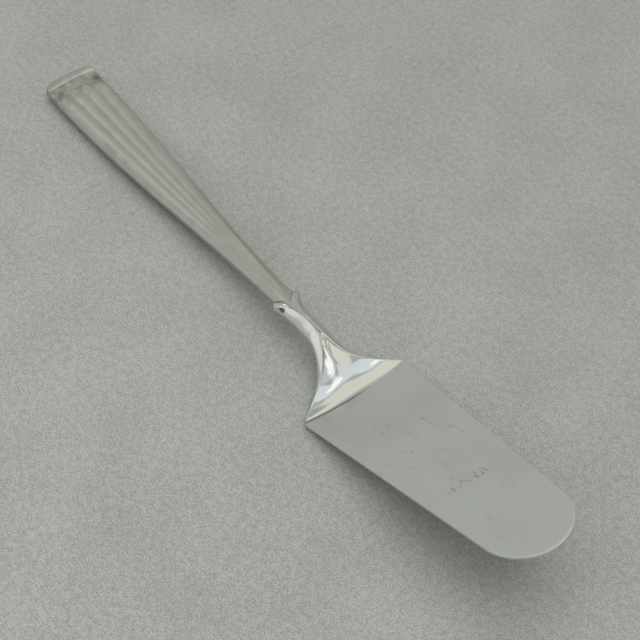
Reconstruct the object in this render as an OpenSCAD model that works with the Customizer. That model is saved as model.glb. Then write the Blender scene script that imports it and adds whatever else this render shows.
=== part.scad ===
// Small pastry and butter server: a reeded hollow handle on a forged spade blade.
// Lengths in millimetres. X runs from the butt to the blade tip, Z is up, and the
// server lies as on a table, on the butt of the handle and the heel of the blade.

/* [Overall] */
// Length from the butt to the blade tip, measured along the table
overall_len = 180; // [165:1:200]
// Length of the handle from the butt to the neck
handle_len = 95; // [85:1:102]

/* [Handle] */
// Width across the square butt
butt_w = 14.1; // [12:0.1:17.5]
// Width of the handle where it meets the neck
neck_end_w = 5; // [4.6:0.1:5.8]
// How late the taper starts, 1 for an even sweep
taper_shape = 1.18; // [1:0.02:1.5]
// Rounding of the butt corners in plan
butt_corner_r = 1.7; // [0.8:0.1:3]
// Outward bow of the butt edge
butt_bow = 0.3; // [0:0.05:0.6]
// Depth of the back half under the seam
back_depth = 2.1; // [1.8:0.1:3]
// Height the seam climbs from butt to neck
handle_rise = 5.35; // [4.6:0.05:6.2]
// Hollow of the handle below a straight line, seen from the side
handle_sag = 0.85; // [0.2:0.05:1.2]
// Thickness of the stamped halves
wall = 0.65; // [0.5:0.05:0.8]

/* [Reeding] */
// Number of reeds across the butt
reed_count = 4; // [3:1:5]
// Height of a reed over the valley beside it, at the butt
reed_depth = 0.45; // [0.2:0.05:0.6]
// Distance from the butt to the point where the reeds would meet
reed_apex = 100; // [97:1:120]
// Width of the raised lip along the butt
lip_w = 2.3; // [1.6:0.1:3]
// Height of the lip over the panel
lip_h = 0.5; // [0.2:0.05:0.8]
// Length over which a reed end rounds up from the panel
nose_len = 4.6; // [3:0.2:8]

/* [Neck] */
// Width of the neck at its waist, across its two rims
waist_rim_w = 0.84; // [0.8:0.02:1.2]
// Width of one rounded flank at the waist, seen from above
flank_w = 2; // [1.6:0.05:2.2]
// Height of one rounded flank at the waist
flank_h = 2; // [1.6:0.05:2.2]
// Depth of the keel under the flanks at the waist
keel_h = 1.1; // [0.8:0.05:1.4]
// Width across the tips of the two barbs
barb_span = 7.5; // [6.8:0.1:8.5]
// Height of the neck's top over the table
neck_top = 9.5; // [9.2:0.05:9.9]
// How late the rims spread to the blade
flare_rim = 2.3; // [2.15:0.05:2.8]
// Share of that sweep which eases in to the blade corners
flare_ease = 0.52; // [0.3:0.02:0.6]
// Bow of the crease between neck and blade towards the blade end
crease_bow = 1.4; // [0:0.1:2]
// Exponent of the hollow running down to the blade, larger is deeper
hollow_shape = 1.7; // [1.2:0.1:2]
// Depth of the arrow-shaped joint between handle and neck
joint_vee = 3; // [2:0.2:3.6]
// Hairline gap of that joint
joint_fit = 0.02; // [0.01:0.01:0.06]

/* [Tongue and tang] */
// Distance from the handle end to the tip of its tongue
tongue_len = 11.5; // [10:0.5:13]
// Width of the tongue at its root
tongue_w = 2.8; // [2.4:0.1:3.4]
// Width of the tongue at its tip
tongue_tip_w = 0.48; // [0.4:0.02:0.54]
// Gap beside the tongue in its bed
tongue_fit = 0.05; // [0.02:0.01:0.1]
// Length of the tang inside the handle
tang_len = 50; // [30:1:60]
// Width of the tang
tang_w = 2.4; // [1.8:0.1:2.8]
// Thickness of the tang at the neck
tang_t = 1.3; // [1:0.05:1.5]

/* [Blade] */
// Width of the blade at its heel
blade_w = 27.5; // [22:0.1:33]
// Radius of the round blade end
blade_end_r = 10.1; // [8:0.1:12]
// Rounding of the two heel corners
heel_corner_r = 0.8; // [0.6:0.1:2]
// Blade thickness at the heel
blade_t = 1.1; // [0.9:0.05:1.4]
// Blade thickness at the end
blade_tip_t = 0.6; // [0.4:0.05:0.9]
// Upward slope of the blade from the table, in degrees
blade_tilt = 20.3; // [14:0.1:22]

/* [Hidden] */
$fn = 96;
// Distance from the butt to the heel line of the blade
heel_x = handle_len + 24.5;
// Distance from the butt to the middle of the waist
waist_x = handle_len + 9;
// Distance from the butt to the centre of the arrow joint
vee_x = handle_len + 1.5;
// Slope of the arrow joint in plan
vee_k = 2 * joint_vee / neck_end_w;
// Straight half width of the heel edge between its corner roundings
heel_half = blade_w / 2 - heel_corner_r;
// Distance from the butt to the ends of the reeds
nose_x0 = 2.1 * lip_w;
// Segments across the reeded panel
panel_n = 6 * reed_count;
// Depth of the front half's edge wall
edge_h = 0.55;
// Panel border height over the seam at the butt
panel_h0 = 1.15;
// Growth of that height from the butt to the neck
panel_dh = 0.6;
// Crown of the panel at the butt
crown_h = 0.35;
// Share of the section height taken by the cavity in the front half
hollow_front = 0.55;
// Share of the section height taken by the cavity in the back half
hollow_back = 0.6;
// Height of the bed under the tongue
bed_z = neck_top - 1;
// Share of the cavity height left as a solder line through the end wall
solder_line = 0.04;
// Distance from the butt at which the end wall stops and the cavity starts
end_wall = 0.4 * lip_w;
// Blade length along its own plane
blade_len = (overall_len - heel_x) / cos(blade_tilt);
// Distance from the butt to the top edge of the tilted heel face
heel_top_x = heel_x - blade_t * sin(blade_tilt);
// Height of the top edge of the tilted heel face
heel_top_z = blade_t * cos(blade_tilt);
// Distance that the neck runs into the blade
sink = 0.3;
// Distance from the butt to the end of the neck's top
neck_end_x = heel_top_x + sink;
// Height of the end of the neck's top, just over the blade's top edge
neck_end_z = heel_top_z + 0.03;
// Step from the neck's underside down to the heel line
heel_step = 0.12;
// Distance that a barb tip lies ahead of the joint's outer end
barb_lead = 1;
// Upright edge under each flank
side_h = 0.3;
// Seam height at the butt, which sets the butt on the table
seam_butt = back_depth;

// Smooth step between a and b
function step3(a, b, x) =
    let (t = min(1, max(0, (x - a) / (b - a))))
    t * t * (3 - 2 * t);

// Half width of the handle before the butt corners are rounded
function half_w(x) =
    let (u = min(1, max(0, x / handle_len)))
    neck_end_w / 2 + (butt_w - neck_end_w) / 2 * (1 + cos(180 * pow(u, taper_shape))) / 2;

// Half width of the handle in plan
function plan_w(x) =
    let (c = max(0, butt_corner_r - x))
    half_w(x) - butt_corner_r + sqrt(pow(butt_corner_r, 2) - pow(c, 2));

// Height of the seam between the two halves
function seam_z(x) =
    let (u = x / handle_len)
    seam_butt + handle_rise * u - 4 * handle_sag * u * (1 - u);

// Shift of a handle point that bends the last stretch into the arrow joint
function vee_pull(x, y) =
    let (t = max(0, (x - (vee_x - 12)) / 12))
    vee_k * abs(y) * t * t;

// Shift of a handle point that bows the butt edge
function butt_pull(x, y) = butt_bow * pow(2 * y / butt_w, 2) * max(0, 1 - x / 12);

// Place a section point, given as across and up from the seam
function on_handle(x, p) =
    [x - vee_pull(x, p[0]) + butt_pull(x, p[0]), p[0], seam_z(x) + p[1]];

// Lip height over the panel near the butt
function lip_z(x) = x < lip_w ? lip_h * sin(180 * pow(x / lip_w, 0.6)) : 0;

// Reed profile across the panel, 0 in a valley and 1 on a crest, p from 1 to -1
function reed_wave(p) = (1 - cos(180 * reed_count * (p + 1))) / 2;

// Growth of a reed from its rounded end, later on its sides than on its crest
function nose(x, p) =
    let (
        lag = 0.45 * nose_len * (1 - reed_wave(p)),
        t = min(1, max(0, (x - nose_x0 - lag) / (0.55 * nose_len)))
    )
    sqrt(1 - pow(1 - t, 2));

// Reed height across the panel
function reed_z(x, p) = reed_depth * max(0, 1 - x / reed_apex) * nose(x, p) * reed_wave(p);

// Half width of the reeded panel
function panel_w(x) = max(0.1, min(plan_w(x) - 0.4, butt_w / 2 * (1 - x / reed_apex)));

// Section of the front half, dressed = 1 with lip and reeds, 0 without
function front_section(x, dressed) =
    let (
        w = plan_w(x),
        b = panel_w(x),
        h = panel_h0 + panel_dh * x / handle_len,
        c = crown_h * 2 * b / butt_w,
        m = (w + b) / 2,
        mz = (edge_h + h) / 2 + 0.04
    )
    concat(
        [[w, 0], [w, edge_h], [m, mz]],
        [for (j = [0:panel_n])
            let (p = 1 - 2 * j / panel_n)
            [b * p, h + c * (1 - p * p) + dressed * (lip_z(x) + reed_z(x, p))]],
        [[-m, mz], [-w, edge_h], [-w, 0]]
    );

// Share of a section's width left inside the wall, a little less at the foot of the edge
function inside_k(x, i, last) =
    (1 - wall / plan_w(x)) * (i == 1 || i == last - 1 ? 0.985 : 1);

// Cavity line of the front half, flat on the seam inside the end wall
function front_cavity(x, open) =
    let (s = front_section(x, 0), last = len(s) - 1)
    [for (i = [0:last]) [s[i][0] * inside_k(x, i, last), open * hollow_front * s[i][1]]];

// Section of the back half: a flat belly with rounded sides
function back_section(x) =
    let (
        w = plan_w(x),
        e = 0.5,
        d = back_depth * (1 - 0.2 * pow(max(0, 1 - x / end_wall), 2)),
        s = front_section(x, 0),
        last = len(s) - 1
    )
    [for (i = [0:last])
        let (y = s[i][0])
        [y, i == 0 || i == last ? 0 : -e - (d - e) * (1 - pow(abs(y) / w, 5))]];

// Cavity line of the back half
function back_cavity(x, open) =
    let (s = back_section(x), last = len(s) - 1)
    [for (i = [0:last]) [s[i][0] * inside_k(x, i, last), open * hollow_back * s[i][1]]];

// Stations along the handle: end wall, lip, reed ends, shaft, joint
wall_x = [for (f = [0, 0.05, 0.13, 0.26, 0.4]) f * lip_w];
lip_x = [for (f = [0.55, 0.7, 0.85, 1, 1.5, 2.1]) f * lip_w];
nose_x = [for (j = [1:5]) nose_x0 + nose_len * j / 5];
shaft_0 = nose_x0 + nose_len;
shaft_x = [for (j = [1:8]) shaft_0 + (vee_x - 12 - shaft_0) * j / 8];
joint_x = [for (j = [1:4]) vee_x - 12 + 3 * j];
cavity_x = concat([end_wall + 0.05], lip_x, nose_x, shaft_x, joint_x);

// Tongue half width and top height past the joint
function tongue_half(x) =
    let (t = min(1, max(0, (x - vee_x) / (tongue_len - 1))))
    tongue_tip_w / 2 + (tongue_w - tongue_tip_w) / 2 * pow(1 - t, 3);
function tongue_back(x, y) = vee_k * abs(y) * pow(1 - step3(vee_x, vee_x + 4, x), 2);
function tongue_top(x) =
    let (t = min(1, max(0, (x - vee_x) / (tongue_len - 1))))
    neck_top - 0.2 + 0.2 * sin(180 * t);

// Tongue section, top side or underside, as a row of placed points
function tongue_row(x, top) =
    let (
        w = tongue_half(x),
        h = tongue_top(x) - bed_z,
        base = front_section(vee_x, 0),
        last = len(base) - 1
    )
    [for (i = [0:last])
        let (
            side = i < 2 ? 1 : i > last - 2 ? -1 : 0,
            p = side != 0 ? side : base[i][0] / base[1][0],
            y = w * p * (top == 1 ? 1 : 0.9),
            z = top == 0 || i == 0 || i == last ? 0 : h * (1 - 0.3 * p * p)
        )
        [x - tongue_back(x, y), y, bed_z + z]];
tongue_x = [for (t = [0.005, 0.07, 0.15, 0.25, 0.37, 0.52, 0.75, 1]) vee_x + (tongue_len - 1) * t];

// Height of the neck's two rims
function rim_z(x) =
    x < waist_x + 1.5
        ? neck_top - 1.4 * pow(max(0, waist_x - x) / 10, 2)
        : neck_end_z + (neck_top - neck_end_z)
            * (1 + cos(180 * (x - waist_x - 1.5) / (neck_end_x - waist_x - 1.5))) / 2;

// Height of the hollow between the rims
hollow_x = waist_x + 3.2;
function hollow_z(x) =
    x < hollow_x
        ? rim_z(x)
        : neck_end_z + (rim_z(hollow_x) - neck_end_z)
            * pow(max(0, 1 - (x - hollow_x) / (neck_end_x - hollow_x)), hollow_shape);

// Share of the way from the waist to a barb tip or to the heel
barb_x = vee_x - joint_vee + barb_lead;
function from_waist(x) = x < waist_x ? (waist_x - x) / (waist_x - barb_x) : (x - waist_x) / (heel_x - waist_x);

// Half width of the neck along its rims
function rim_w(x) =
    let (
        t = from_waist(x),
        end = x < waist_x ? barb_span / 2 - 0.2 : heel_half + 0.25,
        eased = (1 - cos(180 * pow(min(1, t), 1.88))) / 2,
        share = x < waist_x ? pow(t, 3.4) : flare_ease * eased + (1 - flare_ease) * pow(t, flare_rim)
    )
    waist_rim_w / 2 + (end - waist_rim_w / 2) * share;

// Width of a flank in plan
function flank_y(x) =
    let (t = min(1, from_waist(x)), end = x < waist_x ? 0.2 : 0.1)
    end + (flank_w - end) * (1 - pow(t, x < waist_x ? 3 : 1.9));

// Height of the foot of the flanks
function foot_z(x) =
    let (
        t = min(1, from_waist(x)),
        end = x < waist_x ? 0.8 : neck_end_z - heel_step - side_h,
        drop = end + (flank_h - end) * (1 - pow(t, x < waist_x ? 5 : 1.6))
    )
    max(heel_step + side_h, rim_z(min(x, neck_end_x)) - drop);

// Depth of the keel under the flanks
function keel_z(x) =
    let (t = min(1, from_waist(x)))
    x < waist_x ? keel_h + t * t : keel_h * (1 - pow(t, 1.3));

// Back edge of the neck in plan: arrow joint inside, barb outside
function neck_back(y) =
    let (a = abs(y), h = neck_end_w / 2)
    joint_fit + (a < h ? vee_x - vee_k * a : vee_x - joint_vee + barb_lead * (a - h) / (barb_span / 2 - h));

// Columns across the neck: share of the rim's width, of the flank's width and of its height
flank_c = [for (a = [1, 0.7, 0.35]) [a, 0.8 * a + 0.2 * a * a * a]];
neck_c = concat(
    [for (f = flank_c) [1, f[0], f[1]]],
    [for (a = [90:-9:-90]) [sin(a), 0, 0]],
    [for (i = [2:-1:0]) [-1, -flank_c[i][0], flank_c[i][1]]]
);

// Row of neck points at a share t of the way from the joint to the heel, top side or underside
function neck_row(t, top) =
    let (
        xe = barb_x + (heel_x - barb_x) * t,
        w = rim_w(xe) + flank_y(xe)
    )
    [for (c = neck_c)
        let (
            y = c[0] * rim_w(xe) + c[1] * flank_y(xe),
            xb = neck_back(c[0] * rim_w(barb_x) + c[1] * flank_y(barb_x)),
            front = heel_x + sink - top * (1 - c[2]) * (heel_x + sink - neck_end_x),
            x = xb + (front - xb) * t,
            bow = top * crease_bow * (1 - c[0] * c[0]),
            dish = hollow_z(x) + (rim_z(min(x, neck_end_x)) - hollow_z(x)) * c[0] * c[0],
            z = top == 1
                ? dish - c[2] * (dish - foot_z(x))
                : foot_z(x) - side_h - keel_z(x) * (1 - pow(y / w, 2)) + sink / 2 * pow(t, 20)
        )
        [x + bow * cos(blade_tilt) * t, y, z + bow * sin(blade_tilt) * pow(t, 10)]];
neck_t = [for (j = [0:24]) j / 24];

// Last row of the neck, buried in the blade's heel
function root_row(top) =
    let (r = neck_row(1, top))
    [for (i = [0:len(r) - 1])
        r[i] + [blade_t, 0, (top == 1 ? 0.75 * neck_c[i][2] : 0.6) * blade_t]];

// Closed solid between two stacks of rows that share their count
module strip_loft(a, b) {
    k1 = len(a) - 1;
    n = len(a[0]);
    n1 = n - 1;
    off = len(a) * n;
    pts = concat([for (r = a) each r], [for (r = b) each r]);
    tris = concat(
        [for (k = [0:k1 - 1], i = [0:n1 - 1]) each [
            [k * n + i, k * n + n + i, k * n + n + i + 1],
            [k * n + i, k * n + n + i + 1, k * n + i + 1],
            [off + k * n + i, off + k * n + i + 1, off + k * n + n + i + 1],
            [off + k * n + i, off + k * n + n + i + 1, off + k * n + n + i]]],
        [for (k = [0:k1 - 1]) each [
            [k * n + n, k * n, off + k * n],
            [k * n + n, off + k * n, off + k * n + n],
            [k * n + n1, k * n + n + n1, off + k * n + n + n1],
            [k * n + n1, off + k * n + n + n1, off + k * n + n1]]],
        [for (i = [0:n1 - 1]) each [
            [i, i + 1, off + i + 1],
            [i, off + i + 1, off + i],
            [k1 * n + i + 1, k1 * n + i, off + k1 * n + i],
            [k1 * n + i + 1, off + k1 * n + i, off + k1 * n + i + 1]]]
    );
    polyhedron(
        points = pts,
        faces = [for (t = tris)
            if (pts[t[0]] != pts[t[1]] && pts[t[1]] != pts[t[2]] && pts[t[0]] != pts[t[2]]) t],
        convexity = 8
    );
}

// Move a piece from butt coordinates to the part's own frame
module placed() {
    translate([-overall_len / 2, 0, 0]) children();
}

// Tapered bar of the tang, running back into the handle on the line of the seam
module tang() {
    back = vee_x - tang_len;
    rise = atan((seam_z(vee_x) - seam_z(back)) / tang_len);
    translate([back, 0, seam_z(back) - 0.1])
        rotate([0, -rise, 0])
            rotate([90, 0, 0])
                linear_extrude(height = tang_w, center = true)
                    polygon([
                        [0, -0.35 * tang_t],
                        [tang_len + 3, -0.5 * tang_t],
                        [tang_len + 3, 0.5 * tang_t],
                        [0, 0.35 * tang_t]
                    ]);
}

// Plan of the blade in its own plane, from the heel edge at zero
module blade_outline() {
    cx = blade_len - blade_end_r;
    d = sqrt(pow(cx - heel_corner_r, 2) + pow(heel_half, 2));
    lean = atan2(heel_half, cx - heel_corner_r) - asin((blade_end_r - heel_corner_r) / d);
    tx = sin(lean);
    ty = cos(lean);
    translate([cx, 0]) circle(r = blade_end_r);
    for (s = [-1, 1])
        translate([heel_corner_r, s * heel_half]) circle(r = heel_corner_r);
    polygon([
        [0, -heel_half],
        [heel_corner_r + heel_corner_r * tx, -heel_half - heel_corner_r * ty],
        [cx + blade_end_r * tx, -blade_end_r * ty],
        [cx + blade_end_r * tx, blade_end_r * ty],
        [heel_corner_r + heel_corner_r * tx, heel_half + heel_corner_r * ty],
        [0, heel_half]
    ]);
}

// Blade plate, thinning from heel to end, tilted up from the heel line
module blade_plate() {
    translate([heel_x, 0, 0])
        rotate([0, -blade_tilt, 0])
            intersection() {
                linear_extrude(height = blade_t) blade_outline();
                rotate([90, 0, 0])
                    linear_extrude(height = 2 * blade_w, center = true)
                        polygon([
                            [-1, 0],
                            [blade_len + 1, 0],
                            [blade_len + 1, blade_tip_t],
                            [0, blade_t],
                            [-1, blade_t]
                        ]);
            }
}

// Bed for the handle's tongue, cut down from above
module tongue_bed() {
    root = vee_x - joint_vee - 2;
    n = len(tongue_x) - 1;
    edge = concat(
        [[root, tongue_w / 2 + tongue_fit]],
        [for (x = tongue_x) let (h = tongue_half(x)) [x - tongue_back(x, h), h + tongue_fit]],
        [[tongue_x[n] + tongue_fit, tongue_tip_w / 2 + tongue_fit]]
    );
    last = len(edge) - 1;
    translate([0, 0, bed_z])
        linear_extrude(height = 4)
            polygon(concat(edge, [for (i = [0:last]) [edge[last - i][0], -edge[last - i][1]]]));
}

// Forged steel: tang, barbed and hollowed neck, spade blade
module blade_forging() {
    color([0.72, 0.73, 0.74])
        placed()
            difference() {
                union() {
                    strip_loft(
                        concat([for (t = neck_t) neck_row(t, 1)], [root_row(1)]),
                        concat([for (t = neck_t) neck_row(t, 0)], [root_row(0)])
                    );
                    blade_plate();
                    tang();
                }
                tongue_bed();
            }
}

// Stamped front half with lip, reeds and the tongue that lies on the neck
module handle_front() {
    color([0.80, 0.79, 0.74])
        placed()
            strip_loft(
                concat(
                    [for (x = concat(wall_x, cavity_x)) [for (q = front_section(x, 1)) on_handle(x, q)]],
                    [for (x = tongue_x) tongue_row(x, 1)]
                ),
                concat(
                    [for (x = wall_x) [for (q = front_cavity(x, solder_line)) on_handle(x, q)]],
                    [for (x = cavity_x) [for (q = front_cavity(x, 1)) on_handle(x, q)]],
                    [for (x = tongue_x) tongue_row(x, 0)]
                )
            );
}

// Stamped plain back half
module handle_back() {
    color([0.78, 0.77, 0.72])
        placed()
            strip_loft(
                concat(
                    [for (x = wall_x) [for (q = back_cavity(x, solder_line)) on_handle(x, q)]],
                    [for (x = cavity_x) [for (q = back_cavity(x, 1)) on_handle(x, q)]]
                ),
                [for (x = concat(wall_x, cavity_x)) [for (q = back_section(x)) on_handle(x, q)]]
            );
}

// Hardened filling that holds the tang between the two halves
module handle_filling() {
    color([0.45, 0.36, 0.28])
        placed()
            difference() {
                strip_loft(
                    [for (x = cavity_x) [for (q = front_cavity(x, 1)) on_handle(x, q)]],
                    [for (x = cavity_x) [for (q = back_cavity(x, 1)) on_handle(x, q)]]
                );
                tang();
            }
}

handle_front();
handle_back();
handle_filling();
blade_forging();
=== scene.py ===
"""Looks of the small pastry server: a reeded silver handle on a forged steel blade.

Sizes are in millimetres in butt coordinates, with x from the butt to the blade tip, and
the meshes are written in metres in the part's own frame.
"""

import logging
import math
from dataclasses import dataclass, field
from enum import Enum
from typing import Callable, ClassVar

import bmesh
import bpy
from mathutils import Matrix, Vector


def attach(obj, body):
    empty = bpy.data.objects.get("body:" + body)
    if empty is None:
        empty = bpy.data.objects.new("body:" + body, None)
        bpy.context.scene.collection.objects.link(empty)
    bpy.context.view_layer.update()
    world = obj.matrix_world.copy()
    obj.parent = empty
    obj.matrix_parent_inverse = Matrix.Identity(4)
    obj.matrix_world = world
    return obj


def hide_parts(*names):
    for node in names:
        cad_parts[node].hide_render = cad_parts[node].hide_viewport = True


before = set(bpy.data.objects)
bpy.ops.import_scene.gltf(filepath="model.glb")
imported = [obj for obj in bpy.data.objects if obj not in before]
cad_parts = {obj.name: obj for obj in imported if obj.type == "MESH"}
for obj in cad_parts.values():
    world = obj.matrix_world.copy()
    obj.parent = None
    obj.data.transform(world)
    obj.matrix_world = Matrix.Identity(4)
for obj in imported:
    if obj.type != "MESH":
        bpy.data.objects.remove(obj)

LOG = logging.getLogger("server")
BODY = "root"
MM = 0.001
SHARP_ANGLE = math.radians(42)
FINE_DEPTH = 0.00004


class Slot(Enum):
    """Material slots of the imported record."""

    SILVER = "silver"
    STEEL = "steel"
    FILLING = "filling"


class Layer(Enum):
    """The two sides of a sheet that is closed into a solid."""

    UPPER = 0
    LOWER = 1


class Zone(Enum):
    """Strips that a section is made of, from its outer edge inwards."""

    SIDE = "side"
    EDGE = "edge"
    FACET = "facet"
    PANEL = "panel"
    FLANK = "flank"
    RIM = "rim"
    DISH = "dish"


@dataclass(frozen=True)
class Column:
    """One line along a sheet.

    Attributes:
        zone: The strip that the line runs in.
        side: 1 on the +y side, -1 on the -y side.
        share: Where it lies in its strip, from the outer end at 0 to the inner end at 1,
            or from 1 to -1 across a panel or dish.
        low: True for a line on the floor of the tongue's bed.
    """

    zone: Zone
    side: int
    share: float
    low: bool = False

    @property
    def across(self) -> float:
        """Place across the piece from 1 to -1, which outside a dish is the side itself."""
        return self.share if self.zone is Zone.DISH else float(self.side)


Place = Callable[[int, Column, Layer], Vector]
Shade = Callable[[int, Column, Layer], float]
Socket = bpy.types.NodeSocket


def clamp(x: float, low: float = 0.0, high: float = 1.0) -> float:
    """Return x held between low and high."""
    return min(high, max(low, x))


def step(a: float, b: float, x: float) -> float:
    """Return the smooth step of x between a and b."""
    t = clamp((x - a) / (b - a))
    return t * t * (3 - 2 * t)


def half_cos(t: float) -> float:
    """Return a half cosine that falls from 1 at t = 0 to 0 at t = 1."""
    return (1 + math.cos(math.pi * clamp(t))) / 2


def spaced(a: float, b: float, n: int, bias: float = 1.0) -> list[float]:
    """Return n values from a up to, but not including, b.

    Args:
        a: First value.
        b: End that the next list starts with.
        n: Number of values.
        bias: Above 1 the values crowd towards a.

    Returns:
        The values in order.
    """
    return [a + (b - a) * (i / n) ** bias for i in range(n)]


def arc_shares(n: int) -> list[float]:
    """Return n + 1 shares from 1 to -1, crowded at both ends."""
    return [math.sin(math.pi / 2 * (1 - 2 * i / n)) for i in range(n + 1)]


class SheetSolid:
    """A grid of quads, doubled and closed into a solid, and then bent into place."""

    def __init__(self, name: str, rows: int, columns: list[Column]) -> None:
        """Keep the layout.

        Args:
            name: Name of the piece.
            rows: Number of rows along the piece.
            columns: Lines across the piece, from +y to -y.
        """
        self.name = name
        self.rows = rows
        self.columns = columns

    def build(
        self, place: Place, shades: dict[str, Shade], weld: float = 1e-6
    ) -> bpy.types.Object:
        """Make the mesh.

        Args:
            place: Gives the point of a row, a column and a layer, in butt millimetres.
            shades: Vertex attributes by name, each with its own function.
            weld: Points closer than this many metres become one.

        Returns:
            The finished object, linked to the scene.
        """
        bm = bmesh.new()
        # A new layer voids every stored vertex, so the layers come before the sheet.
        layers = {n: bm.verts.layers.float.new(n) for n in shades}
        nr, nc = self.rows - 1, len(self.columns) - 1
        bmesh.ops.create_grid(bm, x_segments=nr, y_segments=nc, size=1.0)
        grown = bmesh.ops.extrude_face_region(bm, geom=bm.faces[:], use_keep_orig=True)
        lower = {e for e in grown["geom"] if isinstance(e, bmesh.types.BMVert)}
        span = max(v.co.x for v in bm.verts)
        for v in bm.verts:
            row = round((v.co.x / span + 1) / 2 * nr)
            col = self.columns[round((v.co.y / span + 1) / 2 * nc)]
            layer = Layer.LOWER if v in lower else Layer.UPPER
            v.co = to_part(place(row, col, layer))
            for n, shade in shades.items():
                v[layers[n]] = shade(row, col, layer)
        bmesh.ops.remove_doubles(bm, verts=bm.verts[:], dist=weld)
        bmesh.ops.dissolve_degenerate(bm, edges=bm.edges[:], dist=weld)
        LOG.info("%s: %d open edges", self.name, sum(not e.is_manifold for e in bm.edges))
        return finish_mesh(bm, self.name)


def to_part(p: Vector) -> Vector:
    """Return a point in the part's frame, in metres, from butt millimetres."""
    return Vector((p.x - Server.overall_len / 2, p.y, p.z)) * MM


def finish_mesh(bm: bmesh.types.BMesh, name: str) -> bpy.types.Object:
    """Turn a bmesh into a smooth object with crisp edges.

    Args:
        bm: The mesh, which is freed.
        name: Name of the piece.

    Returns:
        The linked object.
    """
    bmesh.ops.recalc_face_normals(bm, faces=bm.faces[:])
    mesh = bpy.data.meshes.new(name)
    bm.to_mesh(mesh)
    bm.free()
    mesh.shade_smooth()
    mesh.set_sharp_from_angle(angle=SHARP_ANGLE)
    obj = bpy.data.objects.new(name, mesh)
    bpy.context.scene.collection.objects.link(obj)
    return obj


def dress(obj: bpy.types.Object, material: bpy.types.Material, node: str) -> None:
    """Give a piece its finish and its place in the frame.

    Args:
        obj: The piece.
        material: Its finish.
        node: The solid that the piece stands for.
    """
    obj.data.materials.append(material)
    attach(obj, BODY)
    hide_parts(node)
    LOG.info("%s: %d faces, stands for %s", obj.name, len(obj.data.polygons), node)


class Graph:
    """Short way to lay out shader nodes."""

    def __init__(self, tree: bpy.types.NodeTree) -> None:
        """Clear the tree and keep it."""
        self.tree = tree
        tree.nodes.clear()

    def add(self, kind: str, inputs: dict | None = None, **settings: object) -> bpy.types.Node:
        """Add a node.

        Args:
            kind: Node type without its prefix.
            inputs: Socket name or number, to a value or to a socket that feeds it.
            settings: Properties of the node.

        Returns:
            The node.
        """
        node = self.tree.nodes.new("ShaderNode" + kind)
        for key, value in settings.items():
            setattr(node, key, value)
        for key, value in (inputs or {}).items():
            if isinstance(value, Socket):
                self.tree.links.new(value, node.inputs[key])
            else:
                node.inputs[key].default_value = value
        return node

    def math(self, op: str, a: object, b: object = 0.0, hold: bool = False) -> Socket:
        """Return the output of a Math node."""
        return self.add("Math", {0: a, 1: b}, operation=op, use_clamp=hold).outputs[0]

    def fit(
        self, value: object, low: float, high: float, a: float = 0.0, b: float = 1.0
    ) -> Socket:
        """Return value mapped smoothly from low..high to a..b."""
        inputs = {"Value": value, "From Min": low, "From Max": high, "To Min": a, "To Max": b}
        return self.add("MapRange", inputs, interpolation_type="SMOOTHSTEP").outputs["Result"]

    def mix(self, share: object, a: object, b: object) -> Socket:
        """Return a colour between a and b."""
        return self.add("Mix", {0: share, 6: a, 7: b}, data_type="RGBA").outputs[2]

    def weigh(self, *terms: tuple[Socket, float], hold: bool = False) -> Socket:
        """Return the weighted sum of values.

        Args:
            terms: Values, each with its weight.
            hold: True to hold the sum between 0 and 1.

        Returns:
            The sum.
        """
        total = 0.0
        for value, weight in terms:
            total = self.math("ADD", total, self.math("MULTIPLY", value, weight), hold)
        return total

    def vector(self, op: str, a: Socket, b: object, out: object = 0) -> Socket:
        """Return an output of a Vector Math node."""
        return self.add("VectorMath", {0: a, 1: b}, operation=op).outputs[out]

    def place(self, scale: tuple[float, float, float], turn: float = 0.0) -> Socket:
        """Return the object's own coordinates, turned about z and scaled."""
        coords = self.add("TexCoord").outputs["Object"]
        node = self.add("Mapping", {"Vector": coords, "Scale": scale, "Rotation": (0, 0, turn)})
        return node.outputs[0]

    def noise(self, vector: Socket, scale: float, detail: float = 3.0) -> Socket:
        """Return the value of a noise texture."""
        return self.add("TexNoise", {"Vector": vector, "Scale": scale, "Detail": detail}).outputs[0]

    def attribute(self, name: str) -> Socket:
        """Return a float vertex attribute."""
        return self.add("Attribute", attribute_name=name).outputs["Fac"]

    def bump(self, height: Socket, strength: float, depth: float) -> Socket:
        """Return a normal that follows height."""
        inputs = {"Height": height, "Strength": strength, "Distance": depth}
        return self.add("Bump", inputs).outputs[0]

    def finish(
        self, colour: Socket, rough: object, normal: object = None, metallic: float = 0.0
    ) -> None:
        """Send a surface to the material's output.

        Args:
            colour: Base colour.
            rough: Roughness.
            normal: Bumped normal, where there is one.
            metallic: 1 for bare metal.
        """
        inputs = {"Base Color": colour, "Metallic": metallic, "Roughness": rough}
        if normal is not None:
            inputs["Normal"] = normal
        shader = self.add("BsdfPrincipled", inputs)
        self.add("OutputMaterial", {"Surface": shader.outputs[0]})


def rgb(r: float, g: float, b: float) -> tuple[float, float, float, float]:
    """Return an opaque colour."""
    return (r, g, b, 1.0)


def new_graph(name: str) -> tuple[bpy.types.Material, Graph]:
    """Return a fresh node material and its graph."""
    material = bpy.data.materials.new(name)
    material.use_nodes = True
    return material, Graph(material.node_tree)


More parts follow.
